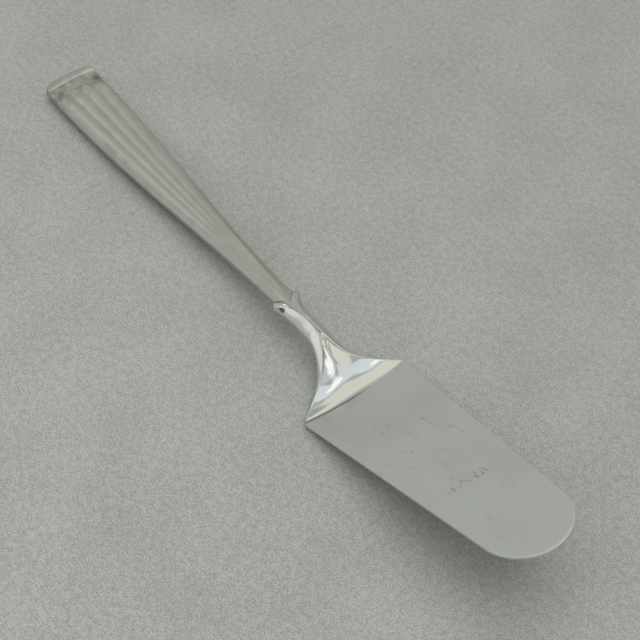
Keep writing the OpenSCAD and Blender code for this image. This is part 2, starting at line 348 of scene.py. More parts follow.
@dataclass(frozen=True)
class SilverFinish:
    """Worn silver: soft polish, warm tarnish in the low places, fine wear along the handle."""

    clean: tuple = rgb(0.58, 0.57, 0.53)
    dull: tuple = rgb(0.40, 0.39, 0.34)
    stain: tuple = rgb(0.20, 0.105, 0.035)
    rough: float = 0.27
    film_rough: float = 0.16
    grain: float = 0.09

    def material(self) -> bpy.types.Material:
        """Return the node material."""
        material, g = new_graph("worn_silver")
        even = g.place((1, 1, 1))
        drawn = g.place((0.06, 1, 1))
        cloud = g.noise(even, 260, 4)
        wear = g.noise(drawn, 2600, 3)
        fine = g.noise(even, 3400, 2)
        low = g.attribute("tarnish")
        patchy = g.math("MULTIPLY", low, g.fit(cloud, 0.3, 0.72, 0.7, 1.15), True)
        film = g.math("ADD", patchy, g.fit(cloud, 0.5, 0.8, 0, 0.12), True)
        flecks = g.fit(g.noise(even, 600, 3), 0.35, 0.65, -0.35, 0.25)
        film = g.math("ADD", film, g.math("MULTIPLY", g.attribute("mottle"), flecks), True)
        colour = g.mix(film, self.clean, self.dull)
        spot = g.math("MULTIPLY", g.attribute("stain"), g.fit(fine, 0.35, 0.6, 0.35, 1), True)
        colour = g.mix(spot, colour, self.stain)
        worn = g.fit(wear, 0.25, 0.75, self.rough - 0.05, self.rough + 0.07)
        rough = g.math("ADD", worn, g.math("MULTIPLY", film, self.film_rough))
        height = g.weigh((wear, 0.7), (fine, 0.3))
        g.finish(colour, rough, g.bump(height, self.grain, FINE_DEPTH), 1.0)
        return material


@dataclass(frozen=True)
class MarkCluster:
    """An oval on the blade with short dark marks, in millimetres of the part's frame.

    Attributes:
        x: Middle along the part.
        y: Middle across the part.
        half_x: Half length.
        half_y: Half width.
        depth: How dark its marks are.
    """

    x: float
    y: float
    half_x: float
    half_y: float
    depth: float


@dataclass(frozen=True)
class SteelFinish:
    """Forged steel: mirror polish on the neck, satin with fine scratches on the blade."""

    bright: tuple = rgb(0.74, 0.735, 0.715)
    grey: tuple = rgb(0.60, 0.60, 0.575)
    mark: tuple = rgb(0.20, 0.195, 0.18)
    mirror_rough: float = 0.07
    satin_rough: float = 0.30
    grain: float = 0.10
    scuff_depth: float = 0.35
    turns: tuple = (0.5, -0.2, 1.2)
    clusters: tuple = (
        MarkCluster(66.2, 0.0, 1.8, 8.0, 0.9),
        MarkCluster(36.0, -9.4, 0.9, 0.9, 0.8),
        MarkCluster(42.7, -3.1, 2.8, 2.0, 0.45),
        MarkCluster(46.8, 4.9, 1.3, 1.3, 0.5),
        MarkCluster(81.0, -4.0, 5.0, 4.0, 0.2),
    )

    def scuffs(self, g: Graph, turn: float) -> Socket:
        """Return short scattered marks along one direction.

        Args:
            g: The material's graph.
            turn: Direction in radians from the blade's length.

        Returns:
            A mask, 1 on a mark.
        """
        lines = g.noise(g.place((0.2, 1, 1), turn), 800, 2)
        where = g.noise(g.place((1, 1, 1), turn), 60, 3)
        return g.math("MULTIPLY", g.fit(lines, 0.60, 0.72), g.fit(where, 0.57, 0.68))

    def cluster(self, g: Graph, spot: MarkCluster) -> Socket:
        """Return the short marks inside one oval on the blade.

        Args:
            g: The material's graph.
            spot: The oval.

        Returns:
            A mask, the oval's depth on a mark.
        """
        coords = g.add("TexCoord").outputs["Object"]
        off = g.vector("SUBTRACT", coords, (spot.x * MM, spot.y * MM, 0))
        oval = (1 / (spot.half_x * MM), 1 / (spot.half_y * MM), 0)
        far = g.vector("LENGTH", g.vector("MULTIPLY", off, oval), (0, 0, 0), "Value")
        lines = g.noise(g.place((0.35, 1, 1), 1.0), 1500, 2)
        return g.math("MULTIPLY", g.fit(lines, 0.54, 0.64), g.fit(far, 0.4, 1.0, spot.depth, 0.0))

    def material(self) -> bpy.types.Material:
        """Return the node material."""
        material, g = new_graph("forged_steel")
        satin = g.math("SUBTRACT", 1.0, g.attribute("polish"), True)
        even = g.place((1, 1, 1))
        brushed = g.noise(g.place((0.025, 1, 1)), 5200, 3)
        cloud = g.noise(even, 75, 4)
        grime = g.noise(even, 1900, 2)
        marks = 0.0
        for turn in self.turns:
            scuff = g.math("MULTIPLY", self.scuffs(g, turn), self.scuff_depth)
            marks = g.math("MAXIMUM", marks, scuff)
        for spot in self.clusters:
            marks = g.math("MAXIMUM", marks, self.cluster(g, spot))
        marks = g.math("MULTIPLY", marks, satin)
        specks = g.math("MULTIPLY", g.fit(grime, 0.73, 0.78), g.fit(cloud, 0.52, 0.64))
        specks = g.math("MULTIPLY", specks, satin)
        # The tarnish attribute also holds a painted dark reflection on the +y barb.
        film = g.math("ADD", g.attribute("tarnish"), g.fit(cloud, 0.4, 0.7, 0, 0.35), True)
        colour = g.mix(film, self.bright, self.grey)
        dark = g.weigh((marks, 0.6), (specks, 0.7), hold=True)
        # Dirt in the arrow joint and painted shade along the crease darken towards the mark colour.
        dark = g.math("MAXIMUM", dark, g.attribute("dirt_and_shade"))
        colour = g.mix(dark, colour, self.mark)
        ground = g.math("ADD", self.satin_rough - 0.05, g.math("MULTIPLY", brushed, 0.10))
        ground = g.math("ADD", ground, g.fit(cloud, 0.3, 0.7, -0.03, 0.04))
        rise = g.math("SUBTRACT", ground, self.mirror_rough)
        worn = g.math("ADD", g.math("MULTIPLY", satin, rise), self.mirror_rough)
        rough = g.math("ADD", worn, g.math("MULTIPLY", dark, 0.2))
        height = g.weigh((brushed, 0.5), (marks, -0.6))
        height = g.math("MULTIPLY", height, satin)
        g.finish(colour, rough, g.bump(height, self.grain, FINE_DEPTH), 1.0)
        return material


@dataclass(frozen=True)
class FillingFinish:
    """Hardened brown filling inside the handle, matt and grainy."""

    pale: tuple = rgb(0.42, 0.33, 0.25)
    deep: tuple = rgb(0.24, 0.18, 0.13)

    def material(self) -> bpy.types.Material:
        """Return the node material."""
        material, g = new_graph("hard_filling")
        grain = g.noise(g.place((1, 1, 1)), 900, 5)
        colour = g.mix(g.fit(grain, 0.3, 0.7), self.pale, self.deep)
        g.finish(colour, g.fit(grain, 0.3, 0.7, 0.75, 0.95), g.bump(grain, 0.4, 0.0002))
        return material


@dataclass(frozen=True)
class FloorFinish:
    """Plain pale stone floor with a fine grain, and painted shade that darkens it towards +y."""

    pale: tuple = rgb(0.375, 0.378, 0.365)
    deep: tuple = rgb(0.225, 0.227, 0.217)
    shade: tuple = rgb(0.16, 0.16, 0.15)
    fade: tuple = (0.2, -0.98, 0.0)
    fade_reach: float = 0.12
    fade_share: float = 0.26
    rough: float = 0.85

    def material(self) -> bpy.types.Material:
        """Return the node material."""
        material, g = new_graph("stone_floor")
        even = g.place((1, 1, 1))
        cloud = g.noise(even, 45, 6)
        grain = g.noise(even, 2500, 3)
        blots = g.noise(even, 700, 4)
        share = g.weigh((grain, 0.6), (blots, 0.25), (cloud, 0.15))
        colour = g.mix(g.fit(share, 0.36, 0.64), self.pale, self.deep)
        # Painted shade: the floor darkens gradually towards +y, a painted falloff of light.
        along = g.vector("DOT_PRODUCT", even, self.fade, "Value")
        painted_shade = g.fit(along, -self.fade_reach, self.fade_reach, self.fade_share, 0.0)
        g.finish(g.mix(painted_shade, colour, self.shade), self.rough)
        return material


@dataclass
class Server:
    """Sizes that the handle and the forging share."""

    overall_len: ClassVar[float] = 180.0
    handle_len: float = 95.0
    neck_end_w: float = 5.0
    neck_top: float = 9.5
    joint_vee: float = 3.0
    tongue_len: float = 11.5
    tongue_w: float = 2.8
    tongue_tip_w: float = 0.48
    bed_drop: float = 0.5
    tongue_crown: float = 0.2

    @property
    def vee_x(self) -> float:
        """Distance from the butt to the centre of the arrow joint."""
        return self.handle_len + 1.5

    @property
    def vee_k(self) -> float:
        """Slope of the arrow joint in plan."""
        return 2 * self.joint_vee / self.neck_end_w

    @property
    def bed_z(self) -> float:
        """Height of the bed under the tongue."""
        return self.neck_top - self.bed_drop

    def tongue_t(self, x: float) -> float:
        """Return the share of the way along the tongue."""
        return clamp((x - self.vee_x) / (self.tongue_len - 1))

    def tongue_half(self, x: float) -> float:
        """Return the half width of the tongue."""
        spread = (self.tongue_w - self.tongue_tip_w) / 2
        return self.tongue_tip_w / 2 + spread * (1 - self.tongue_t(x)) ** 3

    def tongue_back(self, x: float, y: float) -> float:
        """Return how far a tongue point is pulled back into the arrow joint."""
        return self.vee_k * abs(y) * (1 - step(self.vee_x, self.vee_x + 4, x)) ** 2

    def tongue_top(self, x: float) -> float:
        """Return the height of the tongue's crown."""
        return self.neck_top + self.tongue_crown * (math.sin(math.pi * self.tongue_t(x)) - 1)


@dataclass
class Handle(Server):
    """Hollow handle of two stamped halves."""

    butt_w: float = 14.1
    taper_shape: float = 1.18
    butt_corner_r: float = 1.7
    butt_bow: float = 0.3
    back_depth: float = 2.1
    handle_rise: float = 5.35
    handle_sag: float = 0.85
    wall: float = 0.65
    reed_count: int = 4
    reed_depth: float = 0.45
    reed_apex: float = 100.0
    reed_fade: float = 58.0
    reed_end: float = 84.0
    lip_w: float = 2.3
    lip_h: float = 0.5
    nose_len: float = 4.6
    edge_h: float = 0.55
    edge_r: float = 0.22
    panel_h0: float = 1.15
    panel_dh: float = 0.6
    crown_h: float = 0.35
    hollow_front: float = 0.55
    hollow_back: float = 0.6
    solder_line: float = 0.04
    bend_len: float = 12.0
    bow_reach: float = 12.0
    facet_swell: float = 0.04
    back_rim: float = 0.5
    seam_dull: float = 0.4
    back_dull: float = 0.25
    mottle_full: float = 8.0
    mottle_end: float = 18.0
    hidden_dull: float = 0.35
    facet_dull: float = 0.75
    facet_clean: float = 0.45
    far_facet_dull: float = 0.4
    lip_dull: float = 0.55
    scoop_dull: float = 0.95
    valley_dull: float = 0.7
    neck_dull: float = 0.5
    stain_half: float = 1.5
    stains: tuple = ((0.83, 0.2, 1.0), (-0.77, 0.16, 0.6))
    stations: list[float] = field(init=False)
    tongue_stations: list[float] = field(init=False)

    def __post_init__(self) -> None:
        """Lay out the stations along the handle and its tongue."""
        lip, nose = self.lip_w, self.nose_x0
        bend = self.vee_x - self.bend_len
        self.stations = (
            spaced(0, 0.4 * lip, 9, 1.5)
            + spaced(0.4 * lip, lip, 12)
            + spaced(lip, nose, 8)
            + spaced(nose, nose + self.nose_len, 34)
            + spaced(nose + self.nose_len, bend, 60)
            + spaced(bend, self.vee_x, 20)
            + [self.vee_x]
        )
        self.tongue_stations = [
            self.vee_x + (self.tongue_len - 1) * t for t in spaced(0.004, 1, 30, 1.3) + [1]
        ]

    @property
    def nose_x0(self) -> float:
        """Distance from the butt to the tips of the reeds."""
        return 2.1 * self.lip_w

    @property
    def end_wall(self) -> float:
        """Distance from the butt at which the cavity starts."""
        return 0.4 * self.lip_w

    def plan_w(self, x: float) -> float:
        """Return the half width in plan."""
        u = clamp(x / self.handle_len)
        spread = (self.butt_w - self.neck_end_w) / 2
        even = self.neck_end_w / 2 + spread * half_cos(u**self.taper_shape)
        r, c = self.butt_corner_r, max(0.0, self.butt_corner_r - x)
        return even - r + math.sqrt(r * r - c * c)

    def seam_z(self, x: float) -> float:
        """Return the height of the seam between the halves."""
        u = x / self.handle_len
        return self.back_depth + self.handle_rise * u - 4 * self.handle_sag * u * (1 - u)

    def on_handle(self, x: float, y: float, dz: float) -> Vector:
        """Return a point given along, across and up from the seam."""
        t = max(0.0, (x - (self.vee_x - self.bend_len)) / self.bend_len)
        vee = self.vee_k * abs(y) * t * t
        bow = self.butt_bow * (2 * y / self.butt_w) ** 2 * max(0.0, 1 - x / self.bow_reach)
        return Vector((x - vee + bow, y, self.seam_z(x) + dz))

    def lip_z(self, x: float) -> float:
        """Return the height of the lip along the butt."""
        if x >= self.lip_w:
            return 0.0
        return self.lip_h * (1 - abs(2 * (x / self.lip_w) ** 0.7 - 1) ** 5)

    def nose(self, x: float, p: float) -> float:
        """Return how far a reed has grown from its rounded end, later on its sides."""
        lag = 0.45 * self.nose_len * (1 - self.reed_wave(p))
        t = clamp((x - self.nose_x0 - lag) / (0.55 * self.nose_len))
        return math.sqrt(1 - (1 - t) ** 2)

    def reed_wave(self, p: float) -> float:
        """Return 0 in a valley and 1 on the crest of a reed."""
        return (1 - math.cos(math.pi * self.reed_count * (p + 1))) / 2

    def reed_z(self, x: float, p: float) -> float:
        """Return the height of the reeds across the panel."""
        left = max(0.0, 1 - x / self.reed_apex) * (1 - step(self.reed_fade, self.reed_end, x))
        return self.reed_depth * left * self.nose(x, p) * self.reed_wave(p)

    def panel_w(self, x: float) -> float:
        """Return the half width of the reeded panel."""
        return max(0.1, min(self.plan_w(x) - 0.4, self.butt_w / 2 * (1 - x / self.reed_apex)))

    def front_point(self, x: float, c: Column, dressed: bool) -> tuple[float, float]:
        """Return a point of the front half's section.

        Args:
            x: Station along the handle.
            c: Column across it.
            dressed: True with lip, reeds and rounded edges.

        Returns:
            Distance across and height over the seam.
        """
        w, b = self.plan_w(x), self.panel_w(x)
        h = self.panel_h0 + self.panel_dh * x / self.handle_len
        if c.zone is Zone.PANEL:
            p = c.share
            crown = self.crown_h * 2 * b / self.butt_w * (1 - p * p)
            return b * p, h + crown + (self.lip_z(x) + self.reed_z(x, p) if dressed else 0.0)
        lip = self.lip_z(x) if dressed else 0.0
        corner, inner = Vector((w, self.edge_h)), Vector((b, h + lip))
        run = inner - corner
        r = min(self.edge_r, 0.4 * run.length) if dressed else 0.02
        start, stop = Vector((w, self.edge_h - r)), corner + run.normalized() * r
        if c.zone is Zone.SIDE:
            q = Vector((w, 0)).lerp(start, c.share)
        elif c.zone is Zone.EDGE:
            q = start.lerp(corner, c.share).lerp(corner.lerp(stop, c.share), c.share)
        else:
            q = stop.lerp(inner, c.share)
            q.y += self.facet_swell * math.sin(math.pi * c.share)
        return c.side * q.x, q.y

    def front_place(self, row: int, c: Column, layer: Layer) -> Vector:
        """Return a point of the front half, its tongue included."""
        if row >= len(self.stations):
            return self.tongue_place(self.tongue_stations[row - len(self.stations)], c, layer)
        x = self.stations[row]
        y, dz = self.front_point(x, c, layer is Layer.UPPER)
        if layer is Layer.LOWER:
            open_share = 1.0 if x > self.end_wall else self.solder_line
            y *= 1 - self.wall / self.plan_w(x)
            dz *= open_share * self.hollow_front
        return self.on_handle(x, y, dz)

    def tongue_place(self, x: float, c: Column, layer: Layer) -> Vector:
        """Return a point of the tongue that lies on the neck."""
        p = self.front_point(self.vee_x, c, False)[0] / self.plan_w(self.vee_x)
        y = self.tongue_half(x) * p
        h = (self.tongue_top(x) - self.bed_z) * (1 - 0.3 * p * p)
        if layer is Layer.LOWER:
            y, h = 0.9 * y, 0.0
        elif c.zone is Zone.SIDE:
            h *= c.share
        return Vector((x - self.tongue_back(x, y), y, self.bed_z + h))

    def hidden(self, row: int, layer: Layer) -> bool:
        """Return True on the tongue and on the inside of the handle."""
        return row >= len(self.stations) or layer is Layer.LOWER

    def front_tarnish(self, row: int, c: Column, layer: Layer) -> float:
        """Return how dull a point of the front half is: valleys, scoops and the joint."""
        if self.hidden(row, layer):
            return self.hidden_dull
        x = self.stations[row]
        along = x / self.handle_len
        joint = step(self.vee_x - 1.0, self.vee_x, x)
        if c.zone is not Zone.PANEL:
            near = self.facet_dull - self.facet_clean * along
            return max(near if c.side < 0 else self.far_facet_dull, joint)
        wave = self.reed_wave(c.share)
        lip = self.lip_dull * (1 - step(0.8 * self.lip_w, self.lip_w, x))
        scoop = step(0.75 * self.lip_w, 1.2 * self.lip_w, x)
        scoop *= 1 - step(self.nose_x0 + 1, self.nose_x0 + 7, x)
        valley = (1 - wave) ** 1.5 * step(self.lip_w, self.nose_x0 + 3, x) * (1 - 0.5 * along)
        low = max(self.scoop_dull * scoop * (1 - 0.35 * wave), self.valley_dull * valley)
        return clamp(max(lip, low, joint, self.neck_dull * along))

    def front_mottle(self, row: int, c: Column, layer: Layer) -> float:
        """Return how patchy the polish is: most at the reeds' rounded ends."""
        if self.hidden(row, layer):
            return 0.0
        x = self.stations[row]
        start = step(0.5 * self.lip_w, 1.2 * self.lip_w, x)
        return start * (1 - step(self.mottle_full, self.mottle_end, x))

    def front_stain(self, row: int, c: Column, layer: Layer) -> float:
        """Return the brown spots left at the ends of the two outer reeds."""
        if self.hidden(row, layer) or c.zone is not Zone.PANEL:
            return 0.0
        x = self.stations[row]
        along = math.exp(-(((x - 2.4 * self.lip_w) / self.stain_half) ** 2))
        return along * max(
            depth * math.exp(-(((c.share - middle) / half) ** 2)) for middle, half, depth in self.stains
        )

    def front_columns(self) -> list[Column]:
        """Return the columns of the front half from +y to -y."""
        half = [Column(Zone.SIDE, 1, s / 3) for s in range(3)]
        half += [Column(Zone.EDGE, 1, s / 6) for s in range(6)]
        half += [Column(Zone.FACET, 1, s / 6) for s in range(6)]
        panel = 18 * self.reed_count
        middle = [Column(Zone.PANEL, 1, 1 - 2 * j / panel) for j in range(panel + 1)]
        return half + middle + [Column(c.zone, -1, c.share) for c in reversed(half)]

    def build_front(self, material: bpy.types.Material) -> bpy.types.Object:
        """Build and dress the stamped front half."""
        rows = len(self.stations) + len(self.tongue_stations)
        sheet = SheetSolid("front_half_with_tongue", rows, self.front_columns())
        shades = {
            "tarnish": self.front_tarnish,
            "mottle": self.front_mottle,
            "stain": self.front_stain,
        }
        obj = sheet.build(self.front_place, shades)
        dress(obj, material, "handle_front")
        return obj

    def back_place(self, row: int, c: Column, layer: Layer) -> Vector:
        """Return a point of the plain back half, whose outside is the lower layer."""
        x = self.stations[row]
        w, rim = self.plan_w(x), self.back_rim
        d = self.back_depth * (1 - 0.2 * max(0.0, 1 - x / self.end_wall) ** 2)
        y = c.side * w if c.zone is Zone.SIDE else c.share * w
        dz = -rim * c.share if c.zone is Zone.SIDE else -rim - (d - rim) * (1 - abs(c.share) ** 5)
        if layer is Layer.UPPER:
            y *= 1 - self.wall / w
            dz *= (1.0 if x > self.end_wall else self.solder_line) * self.hollow_back
        return self.on_handle(x, y, dz)

    def back_tarnish(self, row: int, c: Column, layer: Layer) -> float:
        """Return how dull a point of the back half is: most beside the seam."""
        return self.seam_dull if c.zone is Zone.SIDE else self.back_dull

    def back_columns(self) -> list[Column]:
        """Return the columns of the back half from +y to -y."""
        side = [Column(Zone.SIDE, 1, s / 3) for s in range(3)]
        belly = [Column(Zone.PANEL, 1, s) for s in arc_shares(40)]
        return side + belly + [Column(c.zone, -1, c.share) for c in reversed(side)]

    def build_back(self, material: bpy.types.Material) -> bpy.types.Object:
        """Build and dress the stamped back half."""
        sheet = SheetSolid("back_half", len(self.stations), self.back_columns())
        obj = sheet.build(self.back_place, {"tarnish": self.back_tarnish})
        dress(obj, material, "handle_back")
        return obj


@dataclass
class Forging(Server):
    """Forged steel: barbed, hollowed neck and spade blade in one piece, with a tang."""

    waist_rim_w: float = 0.84
    flank_w: float = 2.0
    flank_h: float = 2.0
    keel_h: float = 1.1
    barb_span: float = 7.5
    barb_lead: float = 1.0
    barb_dip: float = 1.4
    barb_dip_len: float = 10.0
    barb_flank_w: float = 0.2
    barb_t: float = 0.8
    heel_flank_w: float = 0.1
    flare_rim: float = 2.3
    flare_ease: float = 0.52
    crease_bow: float = 1.4
    hollow_shape: float = 2.0
    bowl_depth: float = 0.32
    bowl_x: float = 114.0
    bowl_half: float = 6.0
    flush_z: float = 9.3
    flush_fall: float = 0.53
    lift_edge: float = 0.5
    lift_len: float = 0.14
    joint_fit: float = 0.02
    tongue_fit: float = 0.05
    side_h: float = 0.3
    heel_step: float = 0.12
    rim_r: float = 0.3
    blade_w: float = 27.5
    blade_end_r: float = 10.1
    heel_corner_r: float = 0.8
    blade_t: float = 1.1
    blade_tip_t: float = 0.6
    blade_edge_t: float = 0.5
    blade_tilt: float = math.radians(20.3)
    edge_r: float = 0.14
    edge_turn: float = 0.6
    crease_s: float = 0.15
    run_in: float = 0.8
    blade_dull: float = 0.5
    neck_dull: float = 0.1
    crease_shade: float = 0.9
    joint_soil: float = 0.6
    bed_share: float = 0.42
    tang_len: float = 50.0
    tang_w: float = 2.4
    tang_t: float = 1.3
    tang_taper: float = 0.7
    tang_seat: float = 3.0
    tang_drop: float = 0.1
    tang_bevel: float = 0.15
    edge_rows: int = 6
    neck_rows: list[float] = field(init=False)
    blade_rows: list[float] = field(init=False)

    def __post_init__(self) -> None:
        """Lay out the rows along the neck and the blade."""
        self.neck_rows = spaced(0, 0.12, 14, 1.2) + spaced(0.12, 0.9, 84) + [
            0.9 + 0.1 * (1 - (1 - i / 16) ** 1.7) for i in range(17)
        ]
        self.blade_rows = spaced(0.004, 0.04, 5) + spaced(0.04, 0.8, 26) + spaced(0.8, 1, 14) + [1]

    @property
    def heel_x(self) -> float:
        """Distance from the butt to the heel line."""
        return self.handle_len + 24.5

    @property
    def waist_x(self) -> float:
        """Distance from the butt to the waist of the neck."""
        return self.handle_len + 9

    @property
    def barb_x(self) -> float:
        """Distance from the butt to the barb tips."""
        return self.vee_x - self.joint_vee + self.barb_lead

    @property
    def heel_half(self) -> float:
        """Straight half width of the heel."""
        return self.blade_w / 2 - self.heel_corner_r

    @property
    def blade_len(self) -> float:
        """Length of the blade in its own plane."""
        return (self.overall_len - self.heel_x) / math.cos(self.blade_tilt)

    @property
    def tilt(self) -> tuple[float, float]:
        """Sine and cosine of the blade's tilt."""
        return math.sin(self.blade_tilt), math.cos(self.blade_tilt)

    @property
    def neck_end(self) -> tuple[float, float]:
        """Distance from the butt and height of the end of the neck's top."""
        sin, cos = self.tilt
        return self.heel_x - self.blade_t * sin + 0.3, self.blade_t * cos + 0.03

    def rim_z(self, x: float) -> float:
        """Return the height of the two rims."""
        crest = self.waist_x + 1.5
        if x < crest:
            return self.neck_top - self.barb_dip * (max(0.0, self.waist_x - x) / self.barb_dip_len) ** 2
        end_x, end_z = self.neck_end
        return end_z + (self.neck_top - end_z) * half_cos((x - crest) / (end_x - crest))

    def hollow_z(self, x: float) -> float:
        """Return the height of the hollow between the rims."""
        start = self.waist_x + 3.2
        if x < start:
            return self.rim_z(x)
        end_x, end_z = self.neck_end
        left = max(0.0, 1 - (x - start) / (end_x - start))
        return end_z + (self.rim_z(start) - end_z) * left**self.hollow_shape

    def from_waist(self, x: float) -> float:
        """Return the share of the way from the waist to a barb tip or the heel."""
        if x < self.waist_x:
            return min(1.0, (self.waist_x - x) / (self.waist_x - self.barb_x))
        return min(1.0, (x - self.waist_x) / (self.heel_x - self.waist_x))

    def rim_w(self, x: float) -> float:
        """Return the half width along the rims."""
        back = x < self.waist_x
        end = self.barb_span / 2 - self.barb_flank_w if back else self.heel_half + 0.25
        waist, t = self.waist_rim_w / 2, self.from_waist(x)
        eased = 1 - half_cos(t**1.88)
        flare = self.flare_ease * eased + (1 - self.flare_ease) * t**self.flare_rim
        return waist + (end - waist) * (t**3.4 if back else flare)

    def flank_y(self, x: float) -> float:
        """Return the width of a flank in plan."""
        t, back = self.from_waist(x), x < self.waist_x
        end = self.barb_flank_w if back else self.heel_flank_w
        return end + (self.flank_w - end) * (1 - t ** (3 if back else 1.9))

    def foot_z(self, x: float) -> float:
        """Return the height of the foot of the flanks."""
        back = x < self.waist_x
        end = self.barb_t if back else self.neck_end[1] - self.heel_step - self.side_h
        drop = end + (self.flank_h - end) * (1 - self.from_waist(x) ** (5 if back else 1.6))
        return max(self.heel_step + self.side_h, self.rim_z(min(x, self.neck_end[0])) - drop)

    def keel_z(self, x: float) -> float:
        """Return the depth of the keel under the flanks."""
        t = self.from_waist(x)
        return self.keel_h + t * t if x < self.waist_x else self.keel_h * (1 - t**1.3)

    def neck_back(self, y: float) -> float:
        """Return the back edge of the neck in plan: arrow joint inside, barb outside."""
        a, h, start = abs(y), self.neck_end_w / 2, self.joint_fit + self.vee_x
        if a < h:
            return start - self.vee_k * a
        return start - self.joint_vee + self.barb_lead * (a - h) / (self.barb_span / 2 - h)

    def bed_half(self, x: float) -> float:
        """Return the half width of the tongue's bed at a point of its outline."""
        station = x
        for _ in range(8):
            station = x + self.tongue_back(station, self.tongue_half(station))
        return self.tongue_half(station) + self.tongue_fit

    def in_bed(self, x: float) -> bool:
        """Return True where the neck is cut down for the tongue."""
        return x < self.vee_x + self.tongue_len - 1 + self.tongue_fit

    def dish_y(self, x: float, share: float, width: float) -> float:
        """Return the distance across of a dish column, in or beside the tongue's bed."""
        a = abs(share)
        fade = step(self.vee_x + self.tongue_len - 1, self.vee_x + self.tongue_len + 4, x)
        bed = self.bed_half(x) * (1 - fade) + width * self.bed_share * fade
        bed = min(bed, 0.8 * width)
        if a <= self.bed_share:
            y = bed * a / self.bed_share
        else:
            y = bed + (width - bed) * (a - self.bed_share) / (1 - self.bed_share)
        return math.copysign(y, share)

    def top_z(self, x: float, y: float) -> float:
        """Return the height of the neck's top between its rims."""
        v = y / self.rim_w(x)
        hollow = self.hollow_z(x)
        bowl = self.bowl_depth * half_cos(abs(x - self.bowl_x) / self.bowl_half)
        bowl *= max(0.0, 1 - v * v) ** 2
        return hollow + (self.rim_z(min(x, self.neck_end[0])) - hollow) * v * v - bowl

    def flank_point(self, x: float, side: int, share: float) -> Vector:
        """Return a point of a flank, from the foot at 0 to the rim at 1."""
        a = 1 - share
        z = self.rim_z(min(x, self.neck_end[0]))
        drop = (0.8 * a + 0.2 * a**3) * (z - self.foot_z(x))
        return Vector((x, side * (self.rim_w(x) + self.flank_y(x) * a), z - drop))

    def crease_shift(self, t: float, c: Column) -> Vector:
        """Return how far the bowed crease draws a point of the neck's top towards the blade."""
        v = c.across
        bow = self.crease_bow * (1 - v * v)
        sin, cos = self.tilt
        return Vector((bow * cos * t, 0, bow * sin * t**10))

    def joint_lift(self, t: float, y: float) -> float:
        """Return how much the neck rises beside the tongue to meet the handle's end."""
        a, half = abs(y), self.neck_end_w / 2
        gap = self.flush_z - self.flush_fall * a - self.rim_z(self.neck_back(y))
        inside = clamp((half + self.lift_edge - a) / self.lift_edge)
        return max(0.0, gap) * inside * (1 - step(0.0, self.lift_len, t))

    def neck_top_point(self, t: float, c: Column) -> Vector:
        """Return a point of the neck's top side.

        Args:
            t: Share of the way from the joint to the heel.
            c: Column across the neck.

        Returns:
            The point, before the neck runs into the blade.
        """
        start_w = self.rim_w(self.barb_x)
        if c.zone is Zone.DISH:
            width0 = start_w - self.rim_r
            x0 = self.neck_back(self.dish_y(self.vee_x - 1.5, c.share, width0))
            x = x0 + (self.neck_end[0] - x0) * t
            width = self.rim_w(x) - min(self.rim_r, 0.3 * self.rim_w(x))
            plan_x = x + self.crease_shift(t, c).x
            y = self.dish_y(plan_x, c.share, width)
            z = self.top_z(x, y) + self.joint_lift(t, y)
            return Vector((x, y, min(z, self.bed_z) if c.low and self.in_bed(plan_x) else z))
        x0 = self.neck_back(start_w)
        x = x0 + (self.neck_end[0] - x0) * t
        r = min(self.rim_r, 0.3 * self.rim_w(x))
        top_of_flank = 1 - 0.45 * r / self.flank_y(x)
        if c.zone is Zone.FLANK:
            return self.flank_point(x, c.side, c.share * top_of_flank)
        inside = self.rim_w(x) - r
        p0 = self.flank_point(x, c.side, top_of_flank)
        p1 = Vector((x, c.side * self.rim_w(x), self.rim_z(x)))
        p2 = Vector((x, c.side * inside, self.top_z(x, inside)))
        return p0.lerp(p1, c.share).lerp(p1.lerp(p2, c.share), c.share)

    def on_blade(self, s: float, q: float, h: float) -> Vector:
        """Return a point given in the blade's own plane: along, across and up."""
        sin, cos = self.tilt
        return Vector((self.heel_x + s * cos - h * sin, q, s * sin + h * cos))

    def blade_top(self, s: float) -> float:
        """Return the blade's thickness at a distance from the heel."""
        return self.blade_t + (self.blade_tip_t - self.blade_t) * clamp(s / self.blade_len)

    def outline_lean(self) -> float:
        """Return the angle between the blade's side edge and its length."""
        run = self.blade_len - self.blade_end_r - self.heel_corner_r
        reach = math.hypot(run, self.heel_half)
        narrowing = math.asin((self.blade_end_r - self.heel_corner_r) / reach)
        return math.atan2(self.heel_half, run) - narrowing

    def side_edge(self, r: float) -> Vector:
        """Return the blade's +y edge from the heel at 0 to the round end at 1."""
        rc, lean, s0 = self.heel_corner_r, self.outline_lean(), self.crease_s
        end = self.blade_len - self.blade_end_r + self.blade_end_r * math.sin(lean)
        s = s0 + (end - s0) * r
        turn = rc + rc * math.sin(lean)
        if s < turn:
            return Vector((s, self.heel_half + math.sqrt(rc * rc - (s - rc) ** 2)))
        k = (s - turn) / (end - turn)
        heel, tip = self.heel_half + rc * math.cos(lean), self.blade_end_r * math.cos(lean)
        return Vector((s, heel * (1 - k) + tip * k))

    def round_end(self, v: float) -> Vector:
        """Return the blade's round end, from v = 1 at +y to -1 at -y."""
        a, r = v * (math.pi / 2 - self.outline_lean()), self.blade_end_r
        return Vector((self.blade_len - r + r * math.cos(a), r * math.sin(a)))

    def crease(self, v: float) -> Vector:
        """Return the crease between neck and blade in the blade's plane."""
        return Vector((self.crease_s + self.crease_bow * (1 - v * v), self.side_edge(0).y * v))

    def blade_plan(self, r: float, v: float) -> Vector:
        """Return a point of the blade's plan from its four edges.

        Args:
            r: Share of the way from the crease to the round end.
            v: Share across, from 1 at +y to -1 at -y.

        Returns:
            Distance along and across in the blade's plane.
        """
        left = self.side_edge(r)
        right = Vector((left.x, -left.y))
        up, down = (1 + v) / 2, (1 - v) / 2
        a, b = self.crease(v), self.round_end(v)
        low = self.crease(1) * up + self.crease(-1) * down
        high = self.round_end(1) * up + self.round_end(-1) * down
        return a * (1 - r) + b * r + left * up + right * down - low * (1 - r) - high * r

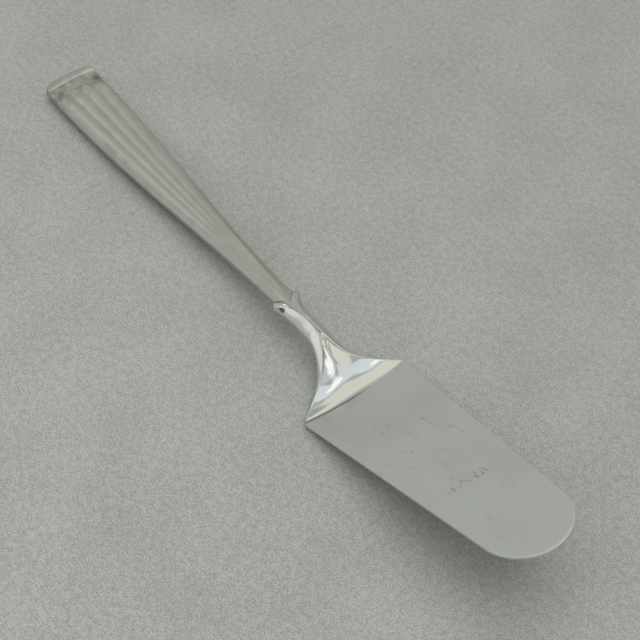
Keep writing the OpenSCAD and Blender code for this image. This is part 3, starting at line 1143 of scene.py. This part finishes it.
    def inset(self, p: Vector, by: float) -> Vector:
        """Return a plan point pulled in from the blade's edge."""
        middle = Vector((self.blade_len - self.blade_end_r, 0))
        if p.x > middle.x:
            return middle + (p - middle) * (1 - by / self.blade_end_r)
        return Vector((p.x, p.y * (1 - by / self.blade_end_r)))

    def edge_drop(self, k: float, wall: float) -> tuple[float, float]:
        """Return how far a point over the blade's edge lies in and down.

        Args:
            k: Step from the top face at 0 to the foot of the edge at 1.
            wall: Height of the edge.

        Returns:
            Inset from the outline and drop from the top face.
        """
        r, turn = self.edge_r, self.edge_turn
        if k <= turn:
            a = math.pi / 2 * k / turn
            return r * (1 - math.sin(a)), r * (1 - math.cos(a))
        return 0.0, r + (wall - r) * (k - turn) / (1 - turn)

    def edge_step(self, row: int, c: Column) -> float:
        """Return how far over the blade's edge a point lies, from 0 on top to 1 at the foot."""
        last = len(self.neck_rows) + len(self.blade_rows) - 1
        over_end = max(0, row - last) / self.edge_rows
        over_side = 0.0
        if c.zone is Zone.RIM:
            over_side = self.edge_turn * (1 - c.share)
        elif c.zone is Zone.FLANK:
            over_side = 1 - (1 - self.edge_turn) * c.share
        return max(over_end, over_side)

    def blade_point(self, row: int, c: Column, layer: Layer) -> Vector:
        """Return a point of the blade."""
        k = row - len(self.neck_rows)
        r = self.blade_rows[min(k, len(self.blade_rows) - 1)]
        v = c.across
        plan = self.blade_plan(r, v)
        over = self.edge_step(row, c)
        top = self.blade_top(plan.x)
        wall = top + (self.blade_edge_t - top) * clamp(20 * r)
        by, drop = self.edge_drop(over, wall)
        if layer is Layer.LOWER:
            back = self.crease(v).x * (1 - r) if k else plan.x
            at_edge = max(abs(v), r) > 0.999
            return self.on_blade(plan.x - back, plan.y, top - wall if at_edge else 0.0)
        near = clamp(by / self.edge_r) if over > 0 else max(abs(v) ** 8, r**12)
        p = plan.lerp(self.inset(plan, self.edge_r), near)
        return self.on_blade(p.x, p.y, top - drop)

    def place(self, row: int, c: Column, layer: Layer) -> Vector:
        """Return a point of the neck or the blade."""
        if row >= len(self.neck_rows):
            return self.blade_point(row, c, layer)
        t = self.neck_rows[row]
        top = self.neck_top_point(t, c)
        if layer is Layer.UPPER:
            top += self.crease_shift(t, c)
            if t > self.run_in:
                first = self.blade_point(len(self.neck_rows), c, layer)
                end = self.neck_top_point(1.0, c) + self.crease_shift(1.0, c)
                top += (first - end) * ((t - self.run_in) / (1 - self.run_in)) ** 3
            return top
        x = min(top.x, self.heel_x)
        wide = self.rim_w(x) + self.flank_y(x)
        z = self.foot_z(x) - self.side_h - self.keel_z(x) * (1 - (top.y / wide) ** 2)
        return Vector((x, top.y, max(0.0, z)))

    def polish(self, row: int, c: Column, layer: Layer) -> float:
        """Return 1 on the mirror-polished neck and 0 on the satin blade."""
        return 1.0 if row < len(self.neck_rows) else 0.0

    def tarnish(self, row: int, c: Column, layer: Layer) -> float:
        """Return how dull a point of the forging is; the grey on the +y barb is a painted dark
        reflection.
        """
        if row >= len(self.neck_rows):
            return self.blade_dull
        v = c.across
        # Painted reflection: the +y barb is greyed to stand in for the dark floor it mirrors.
        barb = (1 - step(0.12, 0.25, self.neck_rows[row])) * step(0.3, 0.6, v)
        return max(barb, self.neck_dull)

    def dirt_and_shade(self, row: int, c: Column, layer: Layer) -> float:
        """Return the dirt in the arrow joint and a painted shade line along the crease."""
        past = row - len(self.neck_rows)
        v = c.across
        # Painted shade: a thin dark line along the crease, strongest on the -y side.
        crease = self.crease_shade * (1 - step(-0.2, 0.4, v))
        if layer is Layer.LOWER or past > 0:
            return 0.0
        if past == 0:
            return crease
        t = self.neck_rows[row]
        joint = self.joint_soil * (1 - step(0.0, 0.02, t))
        return max(joint, crease * step(0.986, 0.993, t))

    def columns(self) -> list[Column]:
        """Return the columns of the forging from +y to -y."""
        half = [Column(Zone.FLANK, 1, s / 9) for s in range(10)]
        half += [Column(Zone.RIM, 1, s / 6) for s in range(1, 6)]
        land, floor = 20, 12
        bed = self.bed_share
        half += [Column(Zone.DISH, 1, 1 - (1 - bed) * j / land) for j in range(land + 1)]
        half += [Column(Zone.DISH, 1, bed * (1 - j / floor), True) for j in range(floor)]
        other = [
            Column(c.zone, -1, -c.share if c.zone is Zone.DISH else c.share, c.low)
            for c in reversed(half)
        ]
        return half + [Column(Zone.DISH, 1, 0.0, True)] + other

    def build(self, material: bpy.types.Material) -> bpy.types.Object:
        """Build and dress the neck and blade."""
        rows = len(self.neck_rows) + len(self.blade_rows) + self.edge_rows
        sheet = SheetSolid("neck_and_blade", rows, self.columns())
        shades = {"polish": self.polish, "tarnish": self.tarnish, "dirt_and_shade": self.dirt_and_shade}
        obj = sheet.build(self.place, shades)
        dress(obj, material, "blade_forging")
        return obj

    def build_tang(self, handle: Handle, material: bpy.types.Material) -> bpy.types.Object:
        """Build and dress the tapered tang inside the handle.

        Args:
            handle: The handle whose seam the tang follows.
            material: The steel.

        Returns:
            The tang.
        """
        back, reach = self.vee_x - self.tang_len, self.tang_len + self.tang_seat
        rise = math.atan2(handle.seam_z(self.vee_x) - handle.seam_z(back), self.tang_len)
        bm = bmesh.new()
        bmesh.ops.create_cube(bm, size=1.0)
        for v in bm.verts:
            thick = self.tang_t * (self.tang_taper if v.co.x < 0 else 1.0)
            v.co = Vector(((v.co.x + 0.5) * reach, v.co.y * self.tang_w, v.co.z * thick))
        bmesh.ops.bevel(
            bm,
            geom=bm.edges[:],
            offset=self.tang_bevel,
            segments=2,
            profile=0.5,
            affect="EDGES",
            material=-1,
        )
        start = Matrix.Translation((back, 0, handle.seam_z(back) - self.tang_drop))
        turn = start @ Matrix.Rotation(-rise, 4, "Y")
        for v in bm.verts:
            v.co = to_part(turn @ v.co)
        obj = finish_mesh(bm, "tang_bar")
        dress(obj, material, "blade_forging")
        return obj


@dataclass(frozen=True)
class SoftBox:
    """A soft patch of light in the room around the server.

    Attributes:
        azimuth: Degrees from +x towards +y.
        elevation: Degrees over the floor.
        inner: Angle from its middle to where it starts to fade.
        outer: Angle from its middle to where it has faded.
        colour: Linear colour.
    """

    azimuth: float
    elevation: float
    inner: float = 0.0
    outer: float = 0.0
    colour: tuple = rgb(1, 1, 1)

    def direction(self) -> Vector:
        """Return the unit vector towards its middle."""
        az, el = math.radians(self.azimuth), math.radians(self.elevation)
        return Vector((math.cos(el) * math.cos(az), math.cos(el) * math.sin(az), math.sin(el)))


WHITE = rgb(1.35, 1.38, 1.38)
GREY = rgb(0.42, 0.46, 0.47)
STRIP = (
    (48, 16, 3, 7), (45, 23, 1, 6), (48, 31, 2, 6), (51, 39, 2, 6), (52, 47, 2, 6), (53, 55, 2, 6),
)


@dataclass
class Studio:
    """Floor, lamps, room and camera."""

    room_low: tuple = rgb(0.52, 0.52, 0.48)
    room_high: tuple = rgb(0.50, 0.54, 0.54)
    boxes: tuple = (
        SoftBox(121, 56, 17, 28, rgb(0.84, 0.85, 0.75)),
        SoftBox(132, 76, 5, 8, GREY),
        SoftBox(147, 68, 5, 8, GREY),
        SoftBox(72, 77, 3, 7, rgb(0.50, 0.55, 0.56)),
        SoftBox(-22, 30, 24, 29, rgb(0.90, 0.92, 0.81)),
        SoftBox(22, 53, 14, 17, rgb(0.84, 0.92, 0.94)),
        SoftBox(52, 62, 6, 9, rgb(0.86, 0.94, 0.96)),
        SoftBox(34, 25, 9, 13, rgb(0.68, 0.72, 0.72)),
        *(SoftBox(*place, WHITE) for place in STRIP),
        SoftBox(255, 34, 14, 25, rgb(0.86, 0.89, 0.87)),
        SoftBox(275, 5, 11, 13, rgb(0.10, 0.12, 0.14)),
        SoftBox(205, 53, 5, 10, WHITE),
        SoftBox(42, 3, 6, 11, rgb(0.22, 0.23, 0.23)),
    )
    lamp_far: float = 1.1
    lamp_colour: tuple = (1.0, 0.99, 0.96)
    key: SoftBox = SoftBox(118, 86)
    key_size: float = 1.3
    key_power: float = 8.7
    fill: SoftBox = SoftBox(250, 40)
    fill_size: float = 1.0
    fill_power: float = 0.9
    look: tuple = (11.865, 3.97, 5.0)
    azimuth: float = 52.388
    elevation: float = 54.144
    roll: float = 0.249
    distance: float = 308.624
    view_angle: float = 26.012

    def build_floor(self) -> None:
        """Make the floor that the server lies on."""
        bm = bmesh.new()
        bmesh.ops.create_grid(bm, x_segments=8, y_segments=8, size=1.6)
        floor = finish_mesh(bm, "floor")
        floor.data.materials.append(FloorFinish().material())

    def build_sky(self) -> None:
        """Light the room evenly and hang soft boxes in it."""
        world = bpy.data.worlds.new("room")
        bpy.context.scene.world = world
        world.use_nodes = True
        g = Graph(world.node_tree)
        ahead = g.add("TexCoord").outputs["Generated"]
        up = g.add("SeparateXYZ", {0: ahead}).outputs["Z"]
        colour = g.mix(g.fit(up, -0.1, 0.9), self.room_low, self.room_high)
        for box in self.boxes:
            near = g.vector("DOT_PRODUCT", ahead, box.direction(), "Value")
            edge, core = (math.cos(math.radians(r)) for r in (box.outer, box.inner))
            colour = g.mix(g.fit(near, edge, core), colour, box.colour)
        back = g.add("Background", {"Color": colour, "Strength": 1.0})
        g.add("OutputWorld", {"Surface": back.outputs[0]})

    def build_lamp(self, name: str, aim: SoftBox, size: float, power: float) -> None:
        """Add a large soft lamp that lights the floor, unseen in the polished steel.

        Args:
            name: Name of the lamp.
            aim: Where it hangs.
            size: Its diameter in metres.
            power: Its power in watts.
        """
        data = bpy.data.lights.new(name, "AREA")
        data.shape = "DISK"
        data.size = size
        data.energy = power
        data.color = self.lamp_colour
        lamp = bpy.data.objects.new(name, data)
        lamp.location = aim.direction() * self.lamp_far
        lamp.rotation_euler = (-lamp.location).to_track_quat("-Z", "Y").to_euler()
        lamp.visible_glossy = False
        bpy.context.scene.collection.objects.link(lamp)

    def build_camera(self) -> None:
        """Set the camera at the photograph's angle."""
        az, el, roll = (math.radians(a) for a in (self.azimuth, self.elevation, self.roll))
        ahead = Vector((-math.sin(az) * math.cos(el), math.cos(az) * math.cos(el), -math.sin(el)))
        right = Vector((math.cos(az), math.sin(az), 0))
        up = right.cross(ahead)
        r2 = right * math.cos(roll) + up * math.sin(roll)
        u2 = up * math.cos(roll) - right * math.sin(roll)
        eye = (Vector(self.look) - ahead * self.distance) * MM
        data = bpy.data.cameras.new("camera")
        data.angle = math.radians(self.view_angle)
        data.clip_start = 0.01
        camera = bpy.data.objects.new("camera", data)
        bpy.context.scene.collection.objects.link(camera)
        turn = Matrix((r2, u2, -ahead)).transposed().to_4x4()
        camera.matrix_world = Matrix.Translation(eye) @ turn
        bpy.context.scene.camera = camera

    def build(self) -> None:
        """Build the whole studio."""
        bpy.context.scene.view_settings.view_transform = "Standard"
        self.build_floor()
        self.build_sky()
        self.build_lamp("key", self.key, self.key_size, self.key_power)
        self.build_lamp("fill", self.fill, self.fill_size, self.fill_power)
        self.build_camera()


def main() -> None:
    """Build every piece in order."""
    logging.basicConfig(level=logging.INFO, format="%(name)s: %(message)s")
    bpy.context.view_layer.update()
    Studio().build()
    silver, steel = SilverFinish().material(), SteelFinish().material()
    handle, forging = Handle(), Forging()
    handle.build_front(silver)
    handle.build_back(silver)
    forging.build(steel)
    forging.build_tang(handle, steel)
    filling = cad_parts["handle_filling"]
    filling.data.materials.clear()
    filling.data.materials.append(FillingFinish().material())
    LOG.info("%s keeps its own solid", filling.name)


if __name__ == "__main__":
    main()
